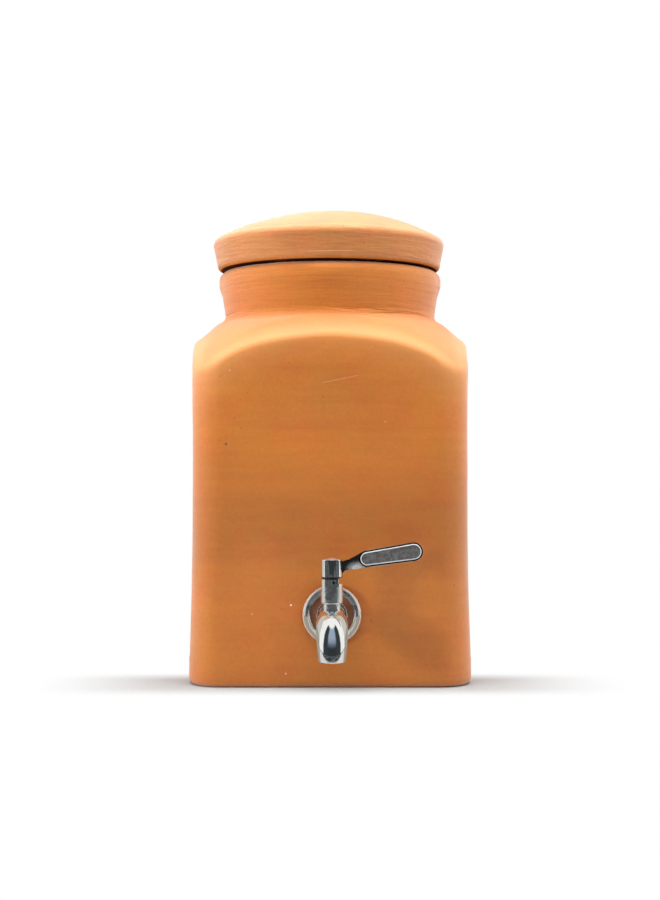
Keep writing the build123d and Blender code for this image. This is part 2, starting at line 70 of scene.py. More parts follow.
def pick(*objects):
    """Select these objects alone, the last one active."""
    bpy.ops.object.select_all(action="DESELECT")
    for thing in objects:
        thing.select_set(True)
        bpy.context.view_layer.objects.active = thing


def copy_of(node, name):
    """An editable copy of a solid, with its loose triangles merged."""
    pick(nodes[node])
    bpy.ops.object.duplicate()
    piece = bpy.context.object
    bpy.ops.object.parent_clear(type="CLEAR_KEEP_TRANSFORM")
    for key in list(piece.keys()):
        del piece[key]
    piece.name = piece.data.name = name
    bpy.ops.object.mode_set(mode="EDIT")
    bpy.ops.mesh.select_all(action="SELECT")
    bpy.ops.mesh.remove_doubles(threshold=MERGE_WITHIN)
    bpy.ops.object.mode_set(mode="OBJECT")
    return piece


def finish_modifiers(piece):
    """Apply all of a piece's modifiers in their order."""
    pick(piece)
    for name in [m.name for m in piece.modifiers]:
        bpy.ops.object.modifier_apply(modifier=name)


def formed_clay(node, name, cell, still, crisp=None):
    """Clay with an even skin of small faces, eased out of true as a hand leaves it."""
    solid = copy_of(node, name + "_solid")
    pick(solid)
    bpy.ops.object.duplicate()
    piece = bpy.context.object
    piece.name = piece.data.name = name
    skin = piece.modifiers.new("skin", "REMESH")
    skin.mode = "VOXEL"
    skin.voxel_size = cell
    ease = piece.modifiers.new("ease", "SMOOTH")
    ease.iterations = 4
    hold = piece.modifiers.new("hold", "SHRINKWRAP")
    hold.target = solid
    hold.wrap_method = "NEAREST_SURFACEPOINT"
    relax = piece.modifiers.new("relax", "SMOOTH")
    relax.iterations = 2
    relax.factor = 0.3
    finish_modifiers(piece)
    if crisp:
        crisp(piece)
    free = piece.vertex_groups.new(name="free")
    for vertex in piece.data.vertices:
        free.add([vertex.index], still(vertex.co), "REPLACE")
    for label, size, depth in (("slow", 85 * MM, 0.7 * MM), ("quick", 22 * MM, 0.25 * MM)):
        hand = bpy.data.textures.new(f"{name}_{label}", "CLOUDS")
        hand.noise_scale = size
        uneven = piece.modifiers.new(label, "DISPLACE")
        uneven.texture = hand
        uneven.texture_coords = "LOCAL"
        uneven.strength = depth
        uneven.mid_level = 0.5
        uneven.vertex_group = "free"
    finish_modifiers(piece)
    pick(piece)
    bpy.ops.object.shade_smooth()
    bpy.data.objects.remove(solid)
    return piece


def ramp(value, low, high):
    """0 below low, 1 above high and smooth between."""
    t = min(1.0, max(0.0, (value - low) / (high - low)))
    return t * t * (3 - 2 * t)


tap_low, tap_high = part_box("dress_ring")
tap_axis = (tap_low + tap_high) / 2
tap_circle = (tap_high.x - tap_low.x) / 2
body_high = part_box("jar_body")[1]


def body_freedom(co):
    """The clay keeps its true shape where the tap's washers, the lid and the floor meet it."""
    from_tap = math.hypot(co.x - tap_axis.x, co.z - tap_axis.z)
    near_tap = ramp(from_tap, tap_circle, tap_circle * 2) if co.y < 0 else 1.0
    off_rim = ramp(body_high.z - co.z, 4 * MM, 16 * MM)
    off_floor = ramp(co.z, 1 * MM, 12 * MM)
    return near_tap * off_rim * off_floor


class Wire:
    """One output of a material's node, so that shader maths reads as plain sums."""

    def __init__(self, tree, socket=None):
        self.tree = tree
        self.socket = socket

    def node(self, kind, settings=None, values=None, out=0):
        """Add a node: its settings first, then the numbers or wires of its sockets."""
        made = self.tree.nodes.new("ShaderNode" + kind)
        for name, value in (settings or {}).items():
            setattr(made, name, value)
        for name, value in (values or {}).items():
            socket = made.inputs[name]
            if isinstance(value, Wire):
                self.tree.links.new(value.socket, socket)
            elif isinstance(value, tuple) and len(value) == 3 and socket.type == "RGBA":
                socket.default_value = (*value, 1.0)
            else:
                socket.default_value = value
        return Wire(self.tree, made.outputs[out])

    def sum(self, how, other, turned=False):
        """This value and another, added, taken away and so on; turned puts the other first."""
        pair = (other, self) if turned else (self, other)
        return self.node("Math", {"operation": how}, {0: pair[0], 1: pair[1]})

    def __add__(self, other):
        return self.sum("ADD", other)

    def __radd__(self, other):
        return self.sum("ADD", other)

    def __sub__(self, other):
        return self.sum("SUBTRACT", other)

    def __rsub__(self, other):
        return self.sum("SUBTRACT", other, True)

    def __mul__(self, other):
        return self.sum("MULTIPLY", other)

    def __rmul__(self, other):
        return self.sum("MULTIPLY", other)

    def __truediv__(self, other):
        return self.sum("DIVIDE", other)

    def __abs__(self):
        return self.node("Math", {"operation": "ABSOLUTE"}, {0: self})

    def step(self, low, high):
        """0 below low, 1 above high and smooth between; low may be the larger."""
        settings = {"interpolation_type": "SMOOTHSTEP"}
        return self.node("MapRange", settings, {0: self, 1: low, 2: high})

    def between(self, out_low, in_low, in_high, out_high):
        """1 from in_low to in_high, 0 beyond the outer two and smooth between."""
        return self.step(out_low, in_low) * self.step(out_high, in_high)

    def mix(self, low, high):
        """A colour between two others, this value saying how far."""
        settings = {"data_type": "RGBA", "blend_type": "MIX"}
        return self.node("Mix", settings, {0: self, 6: low, 7: high}, out=2)


def new_finish(name):
    """A material with its shader and a first wire to build on."""
    finish = bpy.data.materials.new(name)
    finish.use_nodes = True
    shader = finish.node_tree.nodes["Principled BSDF"]
    return finish, shader, Wire(finish.node_tree)


def parts_of(wire, vector):
    """A vector as three numbers."""
    split = wire.node("SeparateXYZ", values={0: vector})
    return [Wire(wire.tree, socket) for socket in split.socket.node.outputs]


def places(wire):
    """The object's own coordinates, whole and as three numbers."""
    place = wire.node("TexCoord", out="Object")
    return place, parts_of(wire, place)


def length_of(wire, across, up):
    """How far a place lies from nought, from its two runs at right angles."""
    run = wire.node("CombineXYZ", values={0: across, 1: up})
    return wire.node("VectorMath", {"operation": "LENGTH"}, {0: run}, out="Value")


def stretched(wire, parts, across, up):
    """Coordinates drawn out into level streaks, so many to the metre across and up."""
    x, y, z = parts
    return wire.node("CombineXYZ", values={0: x * across, 1: y * across, 2: z * up})


def noise(wire, vector, scale, detail=3.0, rough=0.55):
    """Cloudy noise from 0 to 1, so many clouds to the metre."""
    settings = {"noise_dimensions": "3D"}
    values = {"Vector": vector, "Scale": scale, "Detail": detail, "Roughness": rough}
    return wire.node("TexNoise", settings, values)


def flecks(wire, place, scale, share, size):
    """A thin scatter of round flecks: 1 on a fleck and 0 off it."""
    settings = {"feature": "F1"}
    cells = wire.node("TexVoronoi", settings, {"Vector": place, "Scale": scale})
    colour = Wire(wire.tree, cells.socket.node.outputs["Color"])
    chance = wire.node("SeparateColor", values={0: colour})
    return cells.step(size, size * 0.55) * chance.step(1 - share, 1 - share * 0.9)


def join(wire, shader, colour=None, rough=None, height=None):
    """Lead the finished wires into the shader."""
    links = wire.tree.links
    if colour is not None:
        links.new(colour.socket, shader.inputs["Base Color"])
    if rough is not None:
        links.new(rough.socket, shader.inputs["Roughness"])
    if height is not None:
        bump = wire.node("Bump", values={"Height": height, "Strength": 1.0, "Distance": 1.0})
        links.new(bump.socket, shader.inputs["Normal"])


def shaded(tone, share):
    """A colour made lighter or darker by a share."""
    return tuple(min(1.0, c * share) for c in tone)


def deepened(wire, colour, tint):
    """A colour on the wire multiplied by a tint."""
    settings = {"data_type": "RGBA", "blend_type": "MULTIPLY"}
    return wire.node("Mix", settings, {0: 1.0, 6: colour, 7: tint}, out=2)


def terracotta(name, tone, dust, band_low, band_high, marks):
    """Fired clay: mottled, streaked and dusty, with turned lines where it was thrown round."""
    finish, shader, wire = new_finish(name)
    place, parts = places(wire)
    mottle = noise(wire, place, 13.0, 4.0, 0.6)
    cloud = noise(wire, place, 45.0, 3.0)
    wipe = noise(wire, stretched(wire, parts, 14.0, 150.0), 1.0, 3.0, 0.6)
    lines = noise(wire, stretched(wire, parts, 18.0, 300.0), 1.0, 4.0, 0.65)
    grain = noise(wire, place, 1100.0, 2.0)
    sand = noise(wire, place, 380.0, 3.0, 0.7)
    pits = flecks(wire, place, 210.0, 0.05, 0.16)
    specks = flecks(wire, place, 130.0, 0.02, 0.12)
    thrown = parts[2].between(
        band_low - 4 * MM, band_low + 3 * MM, band_high - 2 * MM, band_high + 2 * MM
    )

    colour = mottle.step(0.34, 0.68).mix(shaded(tone, 0.93), shaded(tone, 1.06))
    colour = (cloud.step(0.35, 0.7) * 0.4).mix(colour, shaded(tone, 1.12))
    patch = noise(wire, stretched(wire, parts, 38.0, 42.0), 1.0, 6.0, 0.66)
    yellow = (tone[0] * 0.97, tone[1] * 1.13, tone[2] * 1.1)
    red = (tone[0] * 1.02, tone[1] * 0.86, tone[2] * 0.9)
    colour = (patch.step(0.42, 0.62) * 0.6).mix(colour, yellow)
    colour = (patch.step(0.48, 0.34) * 0.45).mix(colour, red)
    worked = (wipe - 0.5) * 0.55 + (sand - 0.5) * 0.5 + 0.5
    colour = worked.step(0.3, 0.7).mix(colour, deepened(wire, colour, (0.9, 0.85, 0.82)))
    colour = (lines.step(0.5, 0.7) * thrown * 0.5).mix(colour, shaded(tone, 0.82))
    colour = (pits * 0.6).mix(colour, shaded(tone, 0.45))
    colour = (specks * 0.25).mix(colour, (0.85, 0.72, 0.58))
    height = (grain * 0.035 + sand * 0.05 + wipe * 0.10) * MM - pits * (0.22 * MM)
    height = height + (lines * 0.55 + wipe * 0.5) * thrown * MM
    for mark in marks:
        colour, height = mark(wire, parts, colour, height)
    shader.inputs["Specular IOR Level"].default_value = 0.8
    shader.inputs["Sheen Weight"].default_value = dust
    shader.inputs["Sheen Roughness"].default_value = 0.5
    join(wire, shader, colour, (sand - 0.5) * 0.2 + 0.66, height)
    return finish


def rim_painted_shade(wire, parts, colour, height):
    """Painted shade: the top of the rim, under the lid, is painted dark for the shade in the gap.
    """
    rim_shade_mask = parts[2].step(body_high.z - 0.8 * MM, body_high.z - 0.3 * MM)
    # The dark colour here is painted shade in the gap under the lid.
    return (rim_shade_mask * 0.8).mix(colour, (0.12, 0.03, 0.004)), height


NECK_FOOT = 260 * MM


def crease_dents(wire, parts, colour, height):
    """Finger dents left where the neck was luted to the shoulder."""
    near = parts[2].between(
        NECK_FOOT - 4 * MM, NECK_FOOT, NECK_FOOT + 2 * MM, NECK_FOOT + 8 * MM
    )
    dent = noise(wire, stretched(wire, parts, 26.0, 190.0), 1.0, 2.0)
    return colour, height - dent.step(0.5, 0.68) * near * (0.7 * MM)


UNSHADED_ABOVE, FULL_SHADE_BELOW = 185 * MM, 128 * MM
SHADE_BELT = (64 * MM, 100 * MM, 112 * MM, 150 * MM)


def lower_wall_painted_shade(wire, parts, colour, height):
    """Painted shade: the wall is darker low down, and most in a belt above the tap, where the
    light fades.
    """
    z = parts[2]
    # Painted shade: the clay is darkened lower on the wall, standing in for the light falling off.
    painted_low_shade = z.step(UNSHADED_ABOVE, FULL_SHADE_BELOW) * 0.55 + z.between(*SHADE_BELT) * 0.45
    return painted_low_shade.mix(colour, deepened(wire, colour, (0.8, 0.78, 0.74))), height


SCRATCH_FROM = (-6 * MM, 211 * MM)
SCRATCH_SLOPE = 0.2
SCRATCH_RUN = (-8 * MM, -3 * MM, 17 * MM, 23 * MM)
LINE_HEIGHT = 178.5 * MM
# Each spot's place across and up, its size and its colour
SPOTS = (
    (-72.0 * MM, 168.4 * MM, 1.0 * MM, (0.06, 0.03, 0.02)),
    (-27.0 * MM, 57.0 * MM, 0.9 * MM, (0.9, 0.78, 0.62)),
    (-30.5 * MM, 9.8 * MM, 0.9 * MM, (0.75, 0.42, 0.2)),
)


def front_marks(wire, parts, colour, height):
    """A faint scratch, a small dark pit, two pale specks and a level line on the front face."""
    x, y, z = parts
    front = y.step(-80 * MM, -92 * MM)
    slant = (x - SCRATCH_FROM[0]) * SCRATCH_SLOPE + SCRATCH_FROM[1]
    scratch = abs(z - slant).step(0.9 * MM, 0.1 * MM) * x.between(*SCRATCH_RUN) * front
    level = abs(z - LINE_HEIGHT).step(0.9 * MM, 0.2 * MM) * front * x.step(-60 * MM, -20 * MM)
    height = height - scratch * (0.22 * MM) - level * (0.04 * MM)
    colour = (scratch * 0.11).mix(colour, (0.93, 0.55, 0.3))
    for across, up, size, tone in SPOTS:
        spot = length_of(wire, x - across, z - up).step(size, size * 0.5) * front
        colour = (spot * 0.85).mix(colour, tone)
    return colour, height


PLAN_CORNER = 23 * MM
WALL_HALF = 97.2 * MM
FOOT_ROUNDING = 9 * MM
FOOT_TIGHTER = 0.5


def face_inset(x, y, half):
    """How far a place lies inside the nearest upright face, and which way that face looks."""
    straight = half - PLAN_CORNER
    over_x, over_y = abs(x) - straight, abs(y) - straight
    if over_x > 0 and over_y > 0:
        reach = math.hypot(over_x, over_y)
        return PLAN_CORNER - reach, Vector(
            (math.copysign(over_x / reach, x), math.copysign(over_y / reach, y), 0)
        )
    if abs(x) > abs(y):
        return half - abs(x), Vector((math.copysign(1, x), 0, 0))
    return half - abs(y), Vector((0, math.copysign(1, y), 0))


def drawn_in(depth, rounded, share):
    """A depth inside a rounding, drawn nearer to the sharp edge and eased out beyond it."""
    if depth <= 0 or depth >= 2 * rounded:
        return depth
    if depth < rounded:
        return depth * share
    return rounded * share + (2 - share) * (depth - rounded)


def tighten_foot(piece):
    """The real foot is pressed on a board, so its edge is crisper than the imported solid's."""
    for vertex in piece.data.vertices:
        x, y, z = vertex.co
        inset, way = face_inset(x, y, body_high.x)
        if z > FOOT_ROUNDING * 2 or inset > FOOT_ROUNDING * 2 or inset < 0:
            continue
        on_wall, on_sole = inset < FOOT_ROUNDING * 1.06, z < FOOT_ROUNDING * 0.5
        if on_wall or on_sole:
            vertex.co += way * (inset - drawn_in(inset, FOOT_ROUNDING, FOOT_TIGHTER))
            vertex.co.z = drawn_in(z, FOOT_ROUNDING, FOOT_TIGHTER)


NECK_REACH = 78 * MM
ARCH_LOW = 190 * MM
ARCH_ROUNDING = 12.5 * MM
ARCH_TIGHTER = 0.45
SHOULDER_CROWN = 35.7 * MM
SHOULDER_SWEEP = 110.2 * MM
SHOULDER_SPRING = 159.4 * MM


def tighten_arches(piece):
    """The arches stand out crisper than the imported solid's, as on the shaped clay."""
    for vertex in piece.data.vertices:
        x, y, z = vertex.co
        from_axis = math.hypot(x, y)
        if z < ARCH_LOW or from_axis < NECK_REACH:
            continue
        out, up = from_axis - SHOULDER_CROWN, z - SHOULDER_SPRING
        reach = math.hypot(out, up)
        dome_depth = SHOULDER_SWEEP - reach
        face_depth, face_way = face_inset(x, y, WALL_HALF)
        dome_way = Vector((x / from_axis * out / reach, y / from_axis * out / reach, up / reach))
        turn = dome_way.dot(face_way)
        rounded = ARCH_ROUNDING * (1 - turn)
        share = ARCH_TIGHTER + (1 - ARCH_TIGHTER) * ramp(turn, 0.62, 0.82)
        face_move = face_depth - drawn_in(face_depth, rounded, share)
        dome_move = dome_depth - drawn_in(dome_depth, rounded, share)
        spread = max(0.15, 1 - turn * turn)
        vertex.co += face_way * ((face_move - turn * dome_move) / spread)
        vertex.co += dome_way * ((dome_move - turn * face_move) / spread)


SWELL_LOW, SWELL_FULL, SWELL_OUT = 165 * MM, 236 * MM, 3.6 * MM
DROP_LOW, DROP_FULL, SWELL_DOWN = 205 * MM, 244 * MM, 6.0 * MM
FACE_MIDDLE, FACE_SIDE = 15 * MM, 90 * MM
FACE_SKIN, SKIN_EASE = 16 * MM, 12 * MM


def swell_faces(piece):
    """Each face swells a little below its arch, and so its arch comes lower in the middle."""
    for vertex in piece.data.vertices:
        x, y, z = vertex.co
        if z < SWELL_LOW or math.hypot(x, y) < NECK_REACH:
            continue
        face_depth, face_way = face_inset(x, y, WALL_HALF)
        middle = 1 - ramp(min(abs(x), abs(y)), FACE_MIDDLE, FACE_SIDE)
        outside = ramp(FACE_SKIN - face_depth, 0, SKIN_EASE)
        swell = middle * ramp(z, SWELL_LOW, SWELL_FULL) * outside
        vertex.co += face_way * (swell * SWELL_OUT)
        vertex.co.z -= swell * SWELL_DOWN * ramp(z, DROP_LOW, DROP_FULL)


def crisp_body(piece):
    """The body as it was shaped by hand: crisp at its edges and full in its faces."""
    tighten_foot(piece)
    tighten_arches(piece)
    swell_faces(piece)


def arch_painted_highlight(wire, parts, colour, height):
    """Painted highlight: the shoulder is painted paler than the wall, most of all along the
    arches, where they turn up to the top light.
    """
    x, y, z = parts
    from_axis = length_of(wire, x, y)
    reach = length_of(wire, from_axis - SHOULDER_CROWN, z - SHOULDER_SPRING)
    dome_depth = SHOULDER_SWEEP - reach
    face_depth = WALL_HALF - abs(x).sum("MAXIMUM", abs(y))
    below_neck = z.between(
        ARCH_LOW - 10 * MM, ARCH_LOW, NECK_FOOT - 4 * MM, NECK_FOOT + 2 * MM
    )
    edge = dome_depth.step(20 * MM, 1 * MM) * face_depth.step(12 * MM, 4 * MM)
    dome = dome_depth.step(7 * MM, 3 * MM)
    # Painted highlight on the shoulder and along the arch edges.
    return ((dome * 0.1 + edge * 0.2) * below_neck).mix(colour, (0.8, 0.4, 0.15)), height


def dress_clay(piece, finish, shaded_name, in_shade):
    """Give a piece its clay, and on the faces that the lid and the rim shade, a copy without sheen
    or shine, as painted shade.
    """
    painted_shade_copy = finish.copy()
    painted_shade_copy.name = shaded_name
    shader = painted_shade_copy.node_tree.nodes["Principled BSDF"]
    # The copy drops its sheen and shine, so these faces look dark: painted shade.
    shader.inputs["Sheen Weight"].default_value = 0.0
    shader.inputs["Specular IOR Level"].default_value = 0.05
    piece.data.materials.clear()
    piece.data.materials.append(finish)
    piece.data.materials.append(painted_shade_copy)
    for polygon in piece.data.polygons:
        if in_shade(polygon):
            polygon.material_index = 1


def on_rim_top(polygon):
    """Whether a face of the body lies on top of the rim."""
    return polygon.center.z > body_high.z - RIM_TOP


RIM_TOP = 0.5 * MM
BODY_TONE = (0.575, 0.163, 0.006)
BODY_DUST = 0.44
BODY_CELL = 2.7 * MM
clay_body = formed_clay("jar_body", "clay_body", BODY_CELL, body_freedom, crisp_body)
body_marks = (lower_wall_painted_shade, arch_painted_highlight, rim_painted_shade, crease_dents, front_marks)
body_clay = terracotta("body_clay", BODY_TONE, BODY_DUST, NECK_FOOT, body_high.z, body_marks)
dress_clay(clay_body, body_clay, "rim_top", on_rim_top)
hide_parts("jar_body")
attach(clay_body, "jar")


# The lid
# Thrown on a wheel as one thick disc: a flared band, a shallow crown, and a ring underneath
# that drops into the mouth. It lies loose, so it never sits quite in the middle.

lid_low, lid_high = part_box("lid")
UNDERCUT = lid_low.z + 12.8 * MM
LID_SIDEWAYS = -0.9 * MM
CROWN_SIDEWAYS = 3.5 * MM
CROWN_DROP = 0.8 * MM


def lid_freedom(co):
    """The lid keeps its true shape where it sits on the rim and inside the mouth."""
    return ramp(co.z, lid_low.z + 14 * MM, lid_low.z + 20 * MM)


def seat_painted_shade(wire, parts, colour, height):
    """Painted shade: the lid's underside over the rim is painted near-black for the shade in the
    gap.
    """
    x, y, z = parts
    outside = length_of(wire, x, y).step(68 * MM, 70 * MM)
    underside_shade_mask = z.step(UNDERCUT + 0.6 * MM, UNDERCUT + 0.1 * MM) * outside
    # Painted shade: near-black on the underside, standing in for the gap's shade.
    return (underside_shade_mask * 0.97).mix(colour, (0.03, 0.004, 0.001)), height


BAND_SCRATCH = lid_low.z + 18.0 * MM
BAND_SCRATCH_SLOPE = 0.012
BAND_SCRATCH_RUN = (-22 * MM, -12 * MM, 12 * MM, 20 * MM)
CHIP_PLACE = (10 * MM, lid_low.z + 33 * MM)


def band_marks(wire, parts, colour, height):
    """A nearly level scratch, a few shallow chips and soft drag marks round the band."""
    x, y, z = parts
    front = y.step(-60 * MM, -70 * MM)
    slant = x * BAND_SCRATCH_SLOPE + BAND_SCRATCH
    scratch = abs(z - slant).step(0.55 * MM, 0.1 * MM) * x.between(*BAND_SCRATCH_RUN) * front
    drag = noise(wire, stretched(wire, parts, 30.0, 210.0), 1.0, 3.0, 0.65)
    chips = noise(wire, stretched(wire, parts, 160.0, 320.0), 1.0, 3.0).step(0.62, 0.74)
    near_chip = abs(x - CHIP_PLACE[0]).step(14 * MM, 4 * MM) * front
    near_chip = near_chip * abs(z - CHIP_PLACE[1]).step(4 * MM, 1.5 * MM)
    colour = (scratch * 0.3).mix(colour, (0.88, 0.62, 0.4))
    colour = (drag.step(0.5, 0.72) * 0.4).mix(colour, (0.44, 0.13, 0.025))
    colour = (chips * near_chip * 0.6).mix(colour, (0.3, 0.09, 0.02))
    height = height + (drag * 0.8 - scratch * 0.2 - chips * near_chip * 0.5) * MM
    return colour, height


def under_lid(polygon):
    """Whether a face of the lid looks down on the rim."""
    return polygon.normal.z < -0.6 and abs(polygon.center.z - UNDERCUT) < 1.8 * MM


LID_TONE = (0.57, 0.2, 0.044)
LID_DUST = 0.42
LID_CELL = 1.7 * MM
clay_lid = formed_clay("lid", "clay_lid", LID_CELL, lid_freedom)
for vertex in clay_lid.data.vertices:
    crown = ramp(vertex.co.z, lid_low.z + 36 * MM, lid_high.z)
    vertex.co.x += LID_SIDEWAYS + CROWN_SIDEWAYS * crown
    vertex.co.z -= CROWN_DROP * crown
band_low, band_high = lid_low.z + 12 * MM, lid_high.z - 22 * MM
lid_marks = (seat_painted_shade, band_marks)
lid_clay = terracotta("lid_clay", LID_TONE, LID_DUST, band_low, band_high, lid_marks)
dress_clay(clay_lid, lid_clay, "lid_underside", under_lid)
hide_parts("lid")
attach(clay_lid, "lid")


# The polished parts of the tap
# The body, its dress ring and the lever are stainless castings, ground and buffed to a mirror
# that still ripples a little. They keep the shape of their solids in model.glb.

POLISHED_TONE = (0.86, 0.86, 0.85)
POLISHED_ROUGH = 0.035
seam_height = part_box("lever")[0].z


def polished(name, worn=None):
    """Mirror-polished steel with faint ripples, finger smudges and painted shade in the seam at
    the hub.
    """
    finish, shader, wire = new_finish(name)
    place, parts = places(wire)
    ripple = noise(wire, place, 95.0, 2.0)
    smudge = noise(wire, place, 160.0, 4.0, 0.65)
    hair = noise(wire, stretched(wire, parts, 300.0, 4200.0), 1.0, 2.0)
    shader.inputs["Metallic"].default_value = 1.0
    colour = smudge.step(0.45, 0.75).mix(POLISHED_TONE, shaded(POLISHED_TONE, 0.93))
    # Painted shade: the seam under the lever's hub is painted near-black, where the hub shades it.
    seam_painted_shade = abs(parts[2] - seam_height).step(1.0 * MM, 0.6 * MM)
    colour = (seam_painted_shade * 0.92).mix(colour, (0.02, 0.018, 0.016))
    rough = smudge.step(0.5, 0.78) * 0.07 + POLISHED_ROUGH
    if worn:
        rough = rough + worn(wire, parts) * 0.3
    join(wire, shader, colour, rough, (ripple * 0.035 + hair * 0.0012) * MM)
    return finish


def steadied(wire, parts):
    """The barrel below the lock screw is duller, where fingers steady it."""
    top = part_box("lock_screw")[0].z
    patch = noise(wire, stretched(wire, parts, 120.0, 170.0), 1.0, 3.0, 0.6).step(0.3, 0.55)
    held = parts[2].between(top - 19 * MM, top - 16 * MM, top - 4 * MM, top + 1 * MM)
    return held * patch


def coat(finish, *names):
    """Give solids that keep their own shape this finish."""
    for name in names:
        for slot in nodes[name].material_slots:
            slot.material = finish


mirror_steel = polished("mirror_steel", steadied)
coat(mirror_steel, "tap_body", "dress_ring")


# Washers and nut behind the wall
# Two brown rubber washers seal the clay, the outer one with a bush that fills the dress ring. A
# plain steel washer and a hexagon nut on the tail draw them tight from inside the jar.


def moulded_rubber(name, tone):
    """Moulded rubber, dusty and dull."""
    finish, shader, wire = new_finish(name)
    place = places(wire)[0]
    dust = noise(wire, place, 220.0, 4.0)
    grain = noise(wire, place, 1500.0, 2.0)
    colour = dust.step(0.4, 0.75).mix(shaded(tone, 0.85), shaded(tone, 1.25))
    join(wire, shader, colour, dust * 0.2 + 0.55, grain * (0.03 * MM))
    return finish


def machined_steel(name, axis, dark, light):
    """Turned or milled steel with fine tool lines round its axis."""
    finish, shader, wire = new_finish(name)
    place, parts = places(wire)
    lay = {i: part * (2200.0 if i == axis else 60.0) for i, part in enumerate(parts)}
    tool = noise(wire, wire.node("CombineXYZ", values=lay), 1.0, 2.0)
    stain = noise(wire, place, 130.0, 4.0)
    shader.inputs["Metallic"].default_value = 1.0
    colour = stain.step(0.35, 0.75).mix(dark, light)
    join(wire, shader, colour, tool * 0.15 + 0.24, tool * (0.012 * MM))
    return finish


BARE_STEEL = ((0.52, 0.52, 0.52), (0.66, 0.65, 0.63))
rubber = moulded_rubber("washer_rubber", (0.27, 0.095, 0.045))
tail_steel = machined_steel("tail_steel", 1, *BARE_STEEL)
coat(rubber, "outer_washer", "inner_washer")
coat(tail_steel, "plain_washer", "lock_nut")


# The valve inside the barrel
# A cross-drilled steel plug turns in a white sleeve, sealed by two rubber rings and kept
# down by a slippery washer and a threaded ring. A blackened set screw locks the ring.


def white_plastic(name):
    """Machined low-friction plastic, slightly waxy."""
    finish, shader, wire = new_finish(name)
    place, parts = places(wire)
    cloud = noise(wire, place, 300.0, 3.0)
    turned = noise(wire, stretched(wire, parts, 60.0, 3000.0), 1.0, 2.0)
    colour = cloud.step(0.3, 0.75).mix((0.72, 0.72, 0.68), (0.82, 0.82, 0.79))
    join(wire, shader, colour, cloud * 0.15 + 0.32, turned * (0.01 * MM))
    return finish


sleeve_white = white_plastic("sleeve_white")
valve_steel = machined_steel("valve_steel", 2, *BARE_STEEL)
black_steel = machined_steel("black_steel", 1, (0.03, 0.03, 0.032), (0.07, 0.068, 0.066))
coat(sleeve_white, "valve_seat", "thrust_washer")
coat(valve_steel, "retaining_ring", "valve_plug")
coat(black_steel, "lock_screw")
coat(rubber, "plug_o_rings")


# The lever
# A polished casting pressed on the plug's square and held by a screw under a domed cap. Its
# paddle has a grey grip panel let into each broad face inside a fine raised bead.


def grip_grey(name):
    """A matt grey panel with a close leather-like texture."""
    finish, shader, wire = new_finish(name)
    place = places(wire)[0]
    pebble = wire.node("TexVoronoi", {"feature": "SMOOTH_F1"}, {"Vector": place, "Scale": 1500.0})
    patch = noise(wire, place, 420.0, 4.0, 0.7)
    colour = patch.step(0.35, 0.68).mix((0.078, 0.075, 0.075), (0.165, 0.16, 0.158))
    join(wire, shader, colour, patch * 0.2 + 0.42, (pebble * 0.09 + patch * 0.06) * MM)
    return finish


PANEL_NEAR_RADIUS = 3.75 * MM
PANEL_FAR_RADIUS = 4.55 * MM
PADDLE_HALF = 2.52 * MM
BEAD = (-0.05 * MM, 0.05 * MM, 0.58 * MM, 0.68 * MM)
BORDER = (0.62 * MM, 0.74 * MM, 1.6 * MM, 2.0 * MM)
panel_low, panel_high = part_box("inlay_front")
hub_low, hub_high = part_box("hub_cap")
lever_middle = (hub_low.y + hub_high.y) / 2


def painted_lever_reflections(finish):
    """Painted highlight on the bead and under the arm, painted dark reflection beside the bead and
    at the hub.
    """
    shader = finish.node_tree.nodes["Principled BSDF"]
    wire = Wire(finish.node_tree)
    x, y, z = places(wire)[1]
    near_x, near_z = panel_low.x + PANEL_NEAR_RADIUS, panel_low.z + PANEL_NEAR_RADIUS
    run = panel_high.x - PANEL_FAR_RADIUS - near_x
    rise = panel_high.z - PANEL_FAR_RADIUS - near_z
    x_in, z_in = x - near_x, z - near_z
    along = (x_in * run + z_in * rise) / (run * run + rise * rise)
    along = along.node("Clamp", values={0: along})
    out = length_of(wire, x_in - along * run, z_in - along * rise)
    out = out - PANEL_NEAR_RADIUS - along * (PANEL_FAR_RADIUS - PANEL_NEAR_RADIUS)
    aside = abs(y - lever_middle)
    face = aside.step(PADDLE_HALF, PADDLE_HALF + 0.1 * MM)
    shoulder = aside.step(PADDLE_HALF - 0.9 * MM, PADDLE_HALF - 0.6 * MM)
    edge_painted_dark = out.between(*BORDER) * shoulder
    bead = out.between(*BEAD) * face
    colour, rough = [
        Wire(wire.tree, shader.inputs[socket].links[0].from_socket)
        for socket in ("Base Color", "Roughness")
    ]
    # Painted dark reflection along the edge beside the bead.
    colour = (edge_painted_dark * 0.95).mix(colour, (0.018, 0.018, 0.02))
    before = (x_in + 7.0 * MM) / (9.5 * MM)
    below = (z_in + 5.2 * MM - x_in * 0.1) / (5.6 * MM)
    # Painted highlight on the arm's underside, standing in for a reflected light.
    arm_painted_glint = length_of(wire, before, below).step(1.0, 0.1)
    # Painted dark reflection on the arm next to the hub.
    arm_painted_dark = x.between(hub_high.x, hub_high.x + 1.0 * MM, near_x - 5.0 * MM, near_x)
    colour = (arm_painted_dark * (1 - arm_painted_glint) * 0.7).mix(colour, (0.05, 0.05, 0.056))
    # Painted highlight: pale, less metallic colour on the bead and under the arm.
    painted_highlight = bead + arm_painted_glint * (1 - bead) * (1 - edge_painted_dark) * 0.6
    join(wire, shader, painted_highlight.mix(colour, (0.93, 0.93, 0.92)), rough + painted_highlight * (0.5 - rough))
    wire.tree.links.new((1 - painted_highlight * 0.7).socket, shader.inputs["Metallic"])
    return finish


panel_grey = grip_grey("panel_grey")
lever_steel = painted_lever_reflections(polished("lever_steel"))
coat(lever_steel, "lever")
coat(mirror_steel, "hub_cap")
coat(valve_steel, "lever_screw", "stop_pin")
coat(panel_grey, "inlay_front", "inlay_back")


